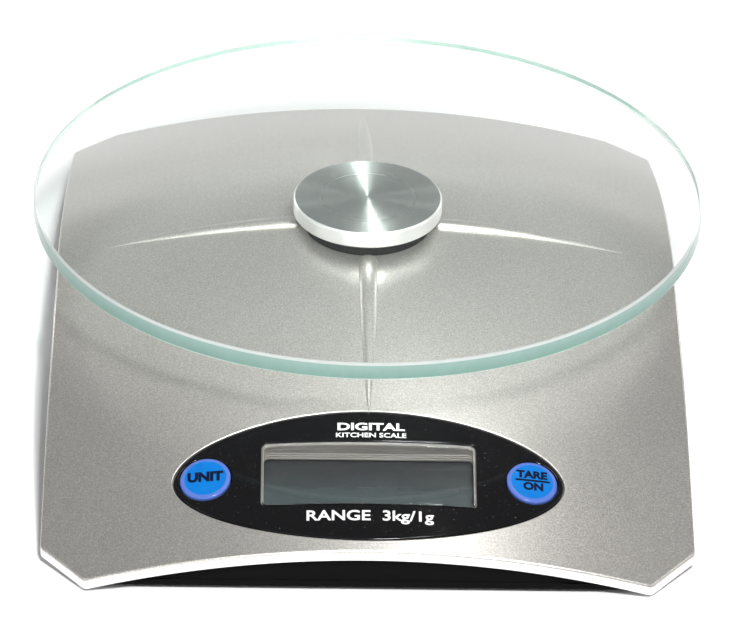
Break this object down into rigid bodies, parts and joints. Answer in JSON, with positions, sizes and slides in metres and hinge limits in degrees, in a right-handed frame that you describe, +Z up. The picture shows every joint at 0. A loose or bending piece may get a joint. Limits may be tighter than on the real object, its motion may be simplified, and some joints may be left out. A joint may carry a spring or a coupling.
{
  "type": "digital gram scale",
  "caption": "Low tabletop gram scale: clear round glass platter on a metal hub over a silver domed cover, with an oval display panel, push buttons and a black base.",
  "frame": {"origin": "on the table, under the centre of the glass platter, which is the bottom centre of the bounding box", "axes": "+Z up; +Y towards the back of the scale; the display faces -Y; +X to the right of the person who reads the display"},
  "size_m": [0.18, 0.23, 0.054],
  "materials": {
    "clear_glass": "clear float glass, polished edge",
    "turned_aluminium": "turned face, polished side",
    "silver_paint": "satin silver metallic paint",
    "black_plastic": "fine matt texture",
    "gloss_black": "polished",
    "clear_plastic": "polished clear acrylic",
    "grey_plastic": "moulded",
    "lcd_glass": "reflective liquid crystal display",
    "blue_plastic": "polished",
    "foot_rubber": "matt",
    "circuit_board_green": "solder mask",
    "black_epoxy": "satin",
    "cell_aluminium": "machined",
    "zinc_steel": "zinc or nickel plated",
    "white_silicone": "matt",
    "red_wire": "extruded",
    "black_wire": "extruded",
    "grey_cable": "extruded",
    "cell_wrap": "printed shrink wrap"
  },
  "bodies": {
    "housing": {"load_cell": "cell_aluminium", "lower_spacer": "cell_aluminium", "cell_screw_1": "zinc_steel", "cell_screw_2": "zinc_steel", "gauge_cover_top": "white_silicone", "gauge_cover_bottom": "white_silicone", "overload_stop": "zinc_steel", "top_cover": "silver_paint", "fascia_panel": "gloss_black", "display_lens": "clear_plastic", "lcd_holder": "grey_plastic", "lcd_panel": "lcd_glass", "zebra_strip_upper": "white_silicone", "zebra_strip_lower": "white_silicone", "unit_switch": "black_plastic", "tare_switch": "black_plastic", "circuit_board": "circuit_board_green", "board_screw_1": "zinc_steel", "board_screw_2": "zinc_steel", "board_screw_3": "zinc_steel", "board_screw_4": "zinc_steel", "controller_chip": "black_epoxy", "crystal": "zinc_steel", "filter_capacitor": "black_epoxy", "bottom_cover": "black_plastic", "rubber_foot_1": "foot_rubber", "rubber_foot_2": "foot_rubber", "rubber_foot_3": "foot_rubber", "rubber_foot_4": "foot_rubber", "case_screw_1": "zinc_steel", "case_screw_2": "zinc_steel", "case_screw_3": "zinc_steel", "case_screw_4": "zinc_steel", "battery_cell_1": "cell_wrap", "contact_spring_1": "zinc_steel", "battery_cell_2": "cell_wrap", "contact_spring_2": "zinc_steel", "link_contact": "zinc_steel", "contact_plate_1": "zinc_steel", "contact_plate_2": "zinc_steel", "battery_wire_red": "red_wire", "battery_wire_black": "black_wire", "load_cell_cable": "grey_cable"},
    "platter": {"glass_platter": "clear_glass", "platter_hub": "turned_aluminium", "hub_carrier": "black_plastic", "platter_bracket": "zinc_steel", "carrier_screw_1": "zinc_steel", "carrier_screw_2": "zinc_steel", "bracket_screw_1": "zinc_steel", "bracket_screw_2": "zinc_steel", "upper_spacer": "cell_aluminium"},
    "unit_key": {"unit_button": "blue_plastic", "unit_switch_stem": "white_silicone"},
    "tare_key": {"tare_button": "blue_plastic", "tare_switch_stem": "white_silicone"},
    "door": {"battery_door": "black_plastic"}
  },
  "joints": [
    {"name": "platter_load", "type": "slide", "parent": "housing", "child": "platter", "axis": [0, 0, -1], "range_m": [0, 0.0005], "stiffness_N_per_m": 58800, "springref_m": -0.00007, "deforming": ["load_cell"]},
    {"name": "unit_press", "type": "slide", "parent": "housing", "child": "unit_key", "axis": [0, 0.3347, -0.9423], "range_m": [0, 0.0006], "stiffness_N_per_m": 2500},
    {"name": "tare_press", "type": "slide", "parent": "housing", "child": "tare_key", "axis": [0, 0.3347, -0.9423], "range_m": [0, 0.0006], "stiffness_N_per_m": 2500},
    {"name": "battery_door_hinge", "type": "hinge", "parent": "housing", "child": "door", "pos_m": [0, 0.084, 0.0012], "axis": [1, 0, 0], "range_deg": [0, 75]}
  ]
}
